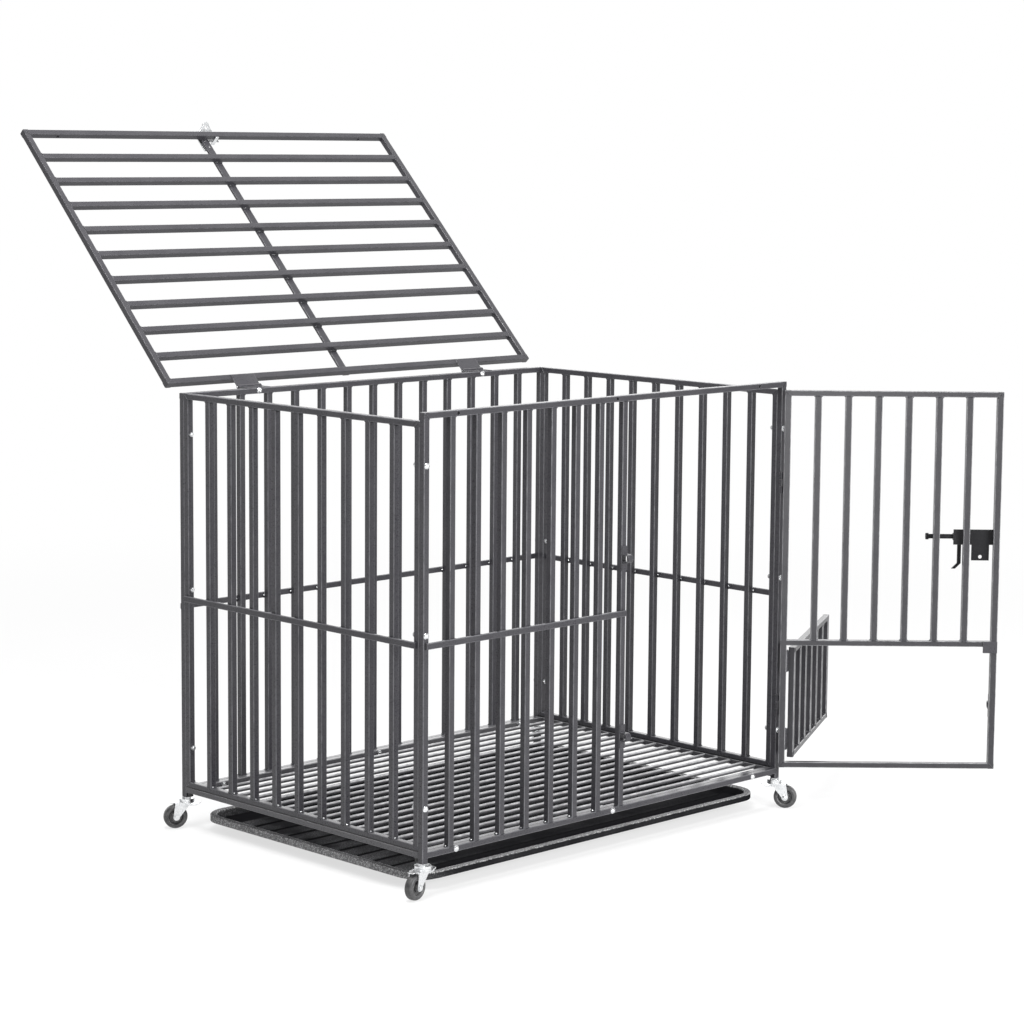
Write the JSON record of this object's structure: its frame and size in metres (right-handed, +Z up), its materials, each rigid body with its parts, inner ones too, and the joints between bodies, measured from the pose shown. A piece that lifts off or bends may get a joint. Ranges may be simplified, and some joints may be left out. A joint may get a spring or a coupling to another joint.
{
  "type": "dog crate",
  "caption": "Rolling dog crate of welded square tube with a lift-up lid, a front door with a small hatch, slide bolts, a rod floor and a pull-out tray",
  "frame": {"origin": "on the ground under the middle of the crate's footprint", "axes": "+X along the front to the door's hinge side, +Y to the back with the lid hinge, +Z up"},
  "size_m": [1.4763, 1.6798, 1.4738],
  "materials": {
    "powder_coat": "satin grey powder coat",
    "latch": "black satin coat",
    "zinc": "bright zinc plate",
    "tray": "grained black moulding",
    "wheel": "dark grey tread",
    "plug": "black"
  },
  "bodies": {
    "crate": {"front_panel": "powder_coat", "back_panel": "powder_coat", "left_panel": "powder_coat", "right_panel": "powder_coat", "floor_grid": "powder_coat", "corner_bolts": "zinc", "corner_nuts": "zinc", "floor_bolts": "zinc", "floor_nuts": "zinc", "lid_hinge_plates": "powder_coat", "lid_hinge_pins": "zinc", "lid_hinge_bolts": "zinc", "lid_hinge_nuts": "zinc", "door_hinge_plates": "powder_coat", "door_hinge_pins": "powder_coat", "upper_keeper": "powder_coat", "lower_keeper": "powder_coat", "caster_stems": "zinc", "tube_plugs": "plug"},
    "lid": {"lid_frame": "powder_coat", "lid_hinge_leaves": "powder_coat", "lid_hasp": "zinc", "lid_hasp_rivets": "zinc"},
    "door": {"door_frame": "powder_coat", "door_hinge_leaves": "powder_coat", "hatch_hinge_plates": "powder_coat", "hatch_hinge_pins": "powder_coat", "door_keeper": "powder_coat", "stop_plate": "powder_coat", "door_bolt_plate": "latch", "door_bolt_rivets": "latch"},
    "door_bolt": {"door_bolt_rod": "latch"},
    "door_handle": {"door_bolt_handle": "latch"},
    "hatch": {"hatch_frame": "powder_coat", "hatch_hinge_leaves": "powder_coat", "hatch_bolt_plate": "latch", "hatch_bolt_rivets": "latch"},
    "hatch_bolt": {"hatch_bolt_rod": "latch"},
    "hatch_handle": {"hatch_bolt_handle": "latch"},
    "tray": {"tray": "tray"},
    "caster_front_left": {"fork_front_left": "zinc", "axle_front_left": "zinc", "brake_pin_front_left": "zinc"},
    "wheel_front_left": {"wheel_front_left": "wheel"},
    "brake_front_left": {"brake_front_left": "zinc"},
    "caster_front_right": {"fork_front_right": "zinc", "axle_front_right": "zinc", "brake_pin_front_right": "zinc"},
    "wheel_front_right": {"wheel_front_right": "wheel"},
    "brake_front_right": {"brake_front_right": "zinc"},
    "caster_back_left": {"fork_back_left": "zinc", "axle_back_left": "zinc", "brake_pin_back_left": "zinc"},
    "wheel_back_left": {"wheel_back_left": "wheel"},
    "brake_back_left": {"brake_back_left": "zinc"},
    "caster_back_right": {"fork_back_right": "zinc", "axle_back_right": "zinc", "brake_pin_back_right": "zinc"},
    "wheel_back_right": {"wheel_back_right": "wheel"},
    "brake_back_right": {"brake_back_right": "zinc"}
  },
  "joints": [
    {"name": "lid_hinge", "type": "hinge", "parent": "crate", "child": "lid", "pos_m": [0, 0.395, 0.9165], "axis": [1, 0, 0], "range_deg": [0, 134.6]},
    {"name": "door_hinge", "type": "hinge", "parent": "crate", "child": "door", "pos_m": [0.508, -0.3785, 0.472], "axis": [0, 0, 1], "range_deg": [-135.4, 35]},
    {"name": "door_bolt_slide", "type": "slide", "parent": "door", "child": "door_bolt", "axis": [0.712, -0.7022, 0], "range_m": [0, 0.044]},
    {"name": "door_handle_turn", "type": "hinge", "parent": "door_bolt", "child": "door_handle", "pos_m": [0.78812, -0.6456, 0.601], "axis": [0.712, -0.7022, 0], "range_deg": [0, 100]},
    {"name": "hatch_hinge", "type": "hinge", "parent": "door", "child": "hatch", "pos_m": [0.52117, -0.39149, 0.241], "axis": [0, 0, 1], "range_deg": [-74, 16]},
    {"name": "hatch_bolt_slide", "type": "slide", "parent": "hatch", "child": "hatch_bolt", "axis": [0.8712, 0.4909, 0], "range_m": [0, 0.042]},
    {"name": "hatch_handle_turn", "type": "hinge", "parent": "hatch_bolt", "child": "hatch_handle", "pos_m": [0.83728, -0.20591, 0.233], "axis": [0.8712, 0.4909, 0], "range_deg": [0, 100]},
    {"name": "tray_slide", "type": "slide", "parent": "crate", "child": "tray", "axis": [1, 0, 0], "range_m": [-1.1, 0]},
    {"name": "swivel_front_left", "type": "hinge", "parent": "crate", "child": "caster_front_left", "pos_m": [-0.518, -0.367, 0.055], "axis": [0, 0, 1], "continuous": true},
    {"name": "roll_front_left", "type": "hinge", "parent": "caster_front_left", "child": "wheel_front_left", "pos_m": [-0.54163, -0.37117, 0.025], "axis": [0.1736, -0.9848, 0], "continuous": true},
    {"name": "brake_front_left_press", "type": "hinge", "parent": "caster_front_left", "child": "brake_front_left", "pos_m": [-0.52095, -0.36752, 0.0485], "axis": [-0.1736, 0.9848, 0], "range_deg": [0, 12]},
    {"name": "swivel_front_right", "type": "hinge", "parent": "crate", "child": "caster_front_right", "pos_m": [0.518, -0.367, 0.055], "axis": [0, 0, 1], "continuous": true},
    {"name": "roll_front_right", "type": "hinge", "parent": "caster_front_right", "child": "wheel_front_right", "pos_m": [0.53177, -0.38666, 0.025], "axis": [0.8192, 0.5736, 0], "continuous": true},
    {"name": "brake_front_right_press", "type": "hinge", "parent": "caster_front_right", "child": "brake_front_right", "pos_m": [0.51972, -0.36946, 0.0485], "axis": [-0.8192, -0.5736, 0], "range_deg": [0, 12]},
    {"name": "swivel_back_left", "type": "hinge", "parent": "crate", "child": "caster_back_left", "pos_m": [-0.518, 0.367, 0.055], "axis": [0, 0, 1], "continuous": true},
    {"name": "roll_back_left", "type": "hinge", "parent": "caster_back_left", "child": "wheel_back_left", "pos_m": [-0.53975, 0.37714, 0.025], "axis": [-0.4226, -0.9063, 0], "continuous": true},
    {"name": "brake_back_left_press", "type": "hinge", "parent": "caster_back_left", "child": "brake_back_left", "pos_m": [-0.52072, 0.36827, 0.0485], "axis": [0.4226, 0.9063, 0], "range_deg": [0, 12]},
    {"name": "swivel_back_right", "type": "hinge", "parent": "crate", "child": "caster_back_right", "pos_m": [0.518, 0.367, 0.055], "axis": [0, 0, 1], "continuous": true},
    {"name": "roll_back_right", "type": "hinge", "parent": "caster_back_right", "child": "wheel_back_right", "pos_m": [0.53497, 0.38397, 0.025], "axis": [-0.7071, 0.7071, 0], "continuous": true},
    {"name": "brake_back_right_press", "type": "hinge", "parent": "caster_back_right", "child": "brake_back_right", "pos_m": [0.52012, 0.36912, 0.0485], "axis": [0.7071, -0.7071, 0], "range_deg": [0, 12]}
  ]
}
